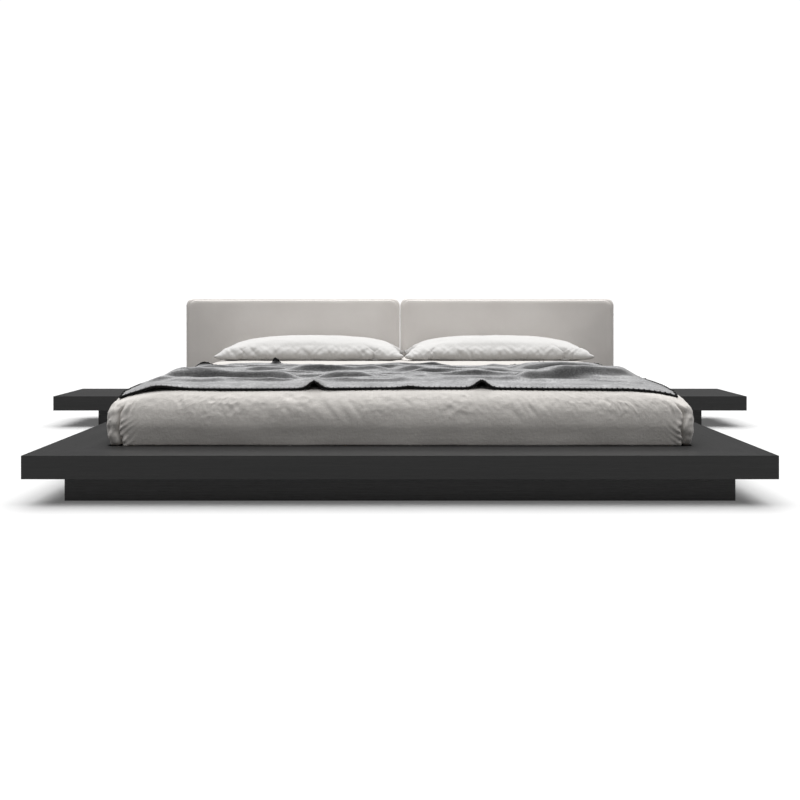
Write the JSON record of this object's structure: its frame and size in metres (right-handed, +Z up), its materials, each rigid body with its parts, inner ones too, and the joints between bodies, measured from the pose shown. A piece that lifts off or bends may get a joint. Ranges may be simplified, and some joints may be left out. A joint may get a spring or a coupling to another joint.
{
  "type": "platform bed",
  "caption": "Low platform bed with a wide ledge all round, a side table at each side of the head, a recessed plinth, an upholstered two-panel headboard, mattress, throw and pillows.",
  "frame": {"origin": "on the floor, at the centre of the bed's overall width and length", "axes": "+Z up, +Y towards the head, +X to the right seen from the foot"},
  "size_m": [3.553, 2.38, 0.6673],
  "materials": {
    "dark_oak": "charcoal stained oak veneer, fine open grain, satin",
    "pine": "planed softwood, unfinished",
    "plywood": "birch plywood, sanded",
    "headboard_leather": "smooth warm grey leather, fine grain, soft sheen",
    "bed_linen": "washed linen in warm grey, lightly crumpled",
    "pillow_cotton": "white cotton percale",
    "mattress_ticking": "quilted woven ticking",
    "throw_wool": "heather grey wool, charcoal on its underside",
    "black_steel": "black powder coat",
    "zinc": "zinc plated"
  },
  "bodies": {
    "platform": {"foot_ledge_board": "dark_oak", "foot_fascia": "dark_oak", "foot_inner_board": "dark_oak", "foot_bottom_board": "dark_oak", "foot_plinth": "dark_oak", "left_ledge_board": "dark_oak", "left_fascia": "dark_oak", "left_inner_board": "dark_oak", "left_bottom_board": "dark_oak", "left_plinth": "dark_oak", "right_ledge_board": "dark_oak", "right_fascia": "dark_oak", "right_inner_board": "dark_oak", "right_bottom_board": "dark_oak", "right_plinth": "dark_oak", "head_rail": "dark_oak", "head_plinth": "dark_oak", "slat_01": "pine", "slat_02": "pine", "slat_03": "pine", "slat_04": "pine", "slat_05": "pine", "slat_06": "pine", "slat_07": "pine", "slat_08": "pine", "slat_09": "pine", "slat_10": "pine", "slat_11": "pine", "centre_beam": "pine", "centre_leg_foot": "black_steel", "centre_leg_head": "black_steel", "wing_top_left": "dark_oak", "wing_front_fascia_left": "dark_oak", "wing_side_fascia_left": "dark_oak", "wing_back_fascia_left": "dark_oak", "wing_plinth_front_left": "dark_oak", "wing_plinth_back_left": "dark_oak", "wing_plinth_side_left": "dark_oak", "wing_top_right": "dark_oak", "wing_front_fascia_right": "dark_oak", "wing_side_fascia_right": "dark_oak", "wing_back_fascia_right": "dark_oak", "wing_plinth_front_right": "dark_oak", "wing_plinth_back_right": "dark_oak", "wing_plinth_side_right": "dark_oak", "headboard_pad_left": "headboard_leather", "headboard_core_left": "plywood", "headboard_strut_left_inner": "black_steel", "headboard_strut_left_outer": "black_steel", "headboard_pad_right": "headboard_leather", "headboard_core_right": "plywood", "headboard_strut_right_inner": "black_steel", "headboard_strut_right_outer": "black_steel"},
    "bedding": {"mattress": "mattress_ticking", "bed_cover": "bed_linen", "throw_blanket": "throw_wool"},
    "left_pillow": {"pillow_left": "pillow_cotton"},
    "right_pillow": {"pillow_right": "pillow_cotton"},
    "foot_glide": {"leveling_glide_foot": "zinc"},
    "head_glide": {"leveling_glide_head": "zinc"}
  },
  "joints": [
    {"name": "mattress_lift", "type": "slide", "parent": "platform", "child": "bedding", "axis": [0, 0, 1], "range_m": [0, 0.3]},
    {"name": "pillow_lift_left", "type": "slide", "parent": "bedding", "child": "left_pillow", "axis": [0, 0, 1], "range_m": [0, 0.25]},
    {"name": "pillow_lift_right", "type": "slide", "parent": "bedding", "child": "right_pillow", "axis": [0, 0, 1], "range_m": [0, 0.25]},
    {"name": "glide_adjust_foot", "type": "slide", "parent": "platform", "child": "foot_glide", "axis": [0, 0, -1], "range_m": [0, 0.012]},
    {"name": "glide_adjust_head", "type": "slide", "parent": "platform", "child": "head_glide", "axis": [0, 0, -1], "range_m": [0, 0.012]}
  ]
}
